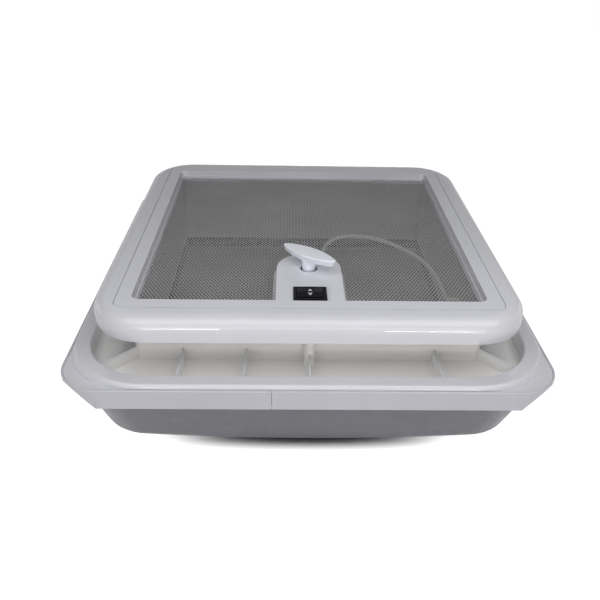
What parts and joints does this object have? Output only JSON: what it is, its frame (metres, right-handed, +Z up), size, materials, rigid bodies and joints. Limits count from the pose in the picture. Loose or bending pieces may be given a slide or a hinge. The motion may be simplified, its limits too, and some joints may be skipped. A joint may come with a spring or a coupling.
{
  "type": "caravan roof vent",
  "caption": "Square caravan roof vent: smoked dome lid on a hinged lift, white flanged throat, room-side trim frame, fly screen, wing knob and rocker switch.",
  "frame": {"origin": "under the middle of the dome's crown, on the surface the vent lies on", "axes": "+Z up from the dome to the room-side face, -Y towards the edge with the controls and the hinges"},
  "size_m": [0.4856, 0.4856, 0.181],
  "materials": {
    "white_plastic": "satin moulded white",
    "throat_plastic": "satin moulded warm white",
    "white_strip": "smooth white edge strip",
    "smoked_acrylic": "smoked grey, smooth",
    "screen_mesh": "woven grey mesh",
    "black_rubber": "matt black",
    "black_plastic": "fine texture black",
    "grey_plastic": "moulded grey",
    "nylon": "natural nylon",
    "brass": "turned",
    "steel": "zinc plated",
    "zinc_screw": "zinc plated",
    "lead_sheath": "pale sheath"
  },
  "bodies": {
    "vent": {"throat": "throat_plastic", "base": "white_plastic", "rim_strip": "white_strip", "throat_edging": "black_rubber", "trim_frame": "white_plastic", "trim_screws": "zinc_screw", "screen_frame": "white_plastic", "screen_screws": "zinc_screw", "screen_caps": "white_plastic", "fly_screen": "screen_mesh", "screen_bead": "white_plastic", "rocker_body": "black_plastic", "rocker_terminals": "brass", "operator_housing": "grey_plastic", "housing_screws": "zinc_screw", "motor": "steel", "motor_screws": "zinc_screw", "arm_pin": "steel", "arm_clips": "steel", "base_leaves": "steel", "base_leaf_screws": "zinc_screw", "hinge_pins": "steel", "supply_lead": "lead_sheath", "lead_clips": "nylon", "lead_grommet": "black_rubber", "lead_connector": "black_plastic", "switch_wires": "lead_sheath"},
    "lid": {"lid_dome": "smoked_acrylic", "lid_frame": "white_plastic", "lid_seal": "black_rubber", "lid_track": "steel", "track_screws": "zinc_screw", "lid_leaves": "steel", "lid_leaf_screws": "zinc_screw"},
    "arm": {"lift_arm": "steel", "worm_wheel": "nylon", "roller_pin": "steel"},
    "roller": {"arm_roller": "nylon"},
    "drive": {"wing_knob": "white_plastic", "worm_shaft": "steel", "worm": "brass", "shaft_gear": "nylon", "shaft_clip": "steel"},
    "pinion": {"motor_pinion": "brass"},
    "rocker": {"rocker_button": "black_plastic"}
  },
  "joints": [
    {"name": "lid_hinge", "type": "hinge", "parent": "vent", "child": "lid", "pos_m": [0, -0.222, 0.0825], "axis": [-1, 0, 0], "range_deg": [0, 50]},
    {"name": "arm_pivot", "type": "hinge", "parent": "vent", "child": "arm", "pos_m": [0, -0.089, 0.0825], "axis": [-1, 0, 0], "range_deg": [0, 100]},
    {"name": "roller_spin", "type": "hinge", "parent": "arm", "child": "roller", "pos_m": [0.01, 0.044, 0.0825], "axis": [1, 0, 0], "continuous": true},
    {"name": "knob_turn", "type": "hinge", "parent": "vent", "child": "drive", "pos_m": [0, -0.11, 0.1615], "axis": [0, 0, 1], "range_deg": [0, 2400]},
    {"name": "motor_turn", "type": "hinge", "parent": "vent", "child": "pinion", "pos_m": [0, -0.131, 0.1025], "axis": [0, 0, 1], "range_deg": [-4800, 0]},
    {"name": "rocker_tilt", "type": "hinge", "parent": "vent", "child": "rocker", "pos_m": [0, -0.162, 0.1585], "axis": [1, 0, 0], "range_deg": [-6, 6], "stiffness_Nm_per_rad": 0.3}
  ],
  "couplings": [
    {"joint": "arm_pivot", "follows": "lid_hinge", "ratio": 2},
    {"joint": "knob_turn", "follows": "lid_hinge", "ratio": 48},
    {"joint": "motor_turn", "follows": "lid_hinge", "ratio": -96}
  ]
}
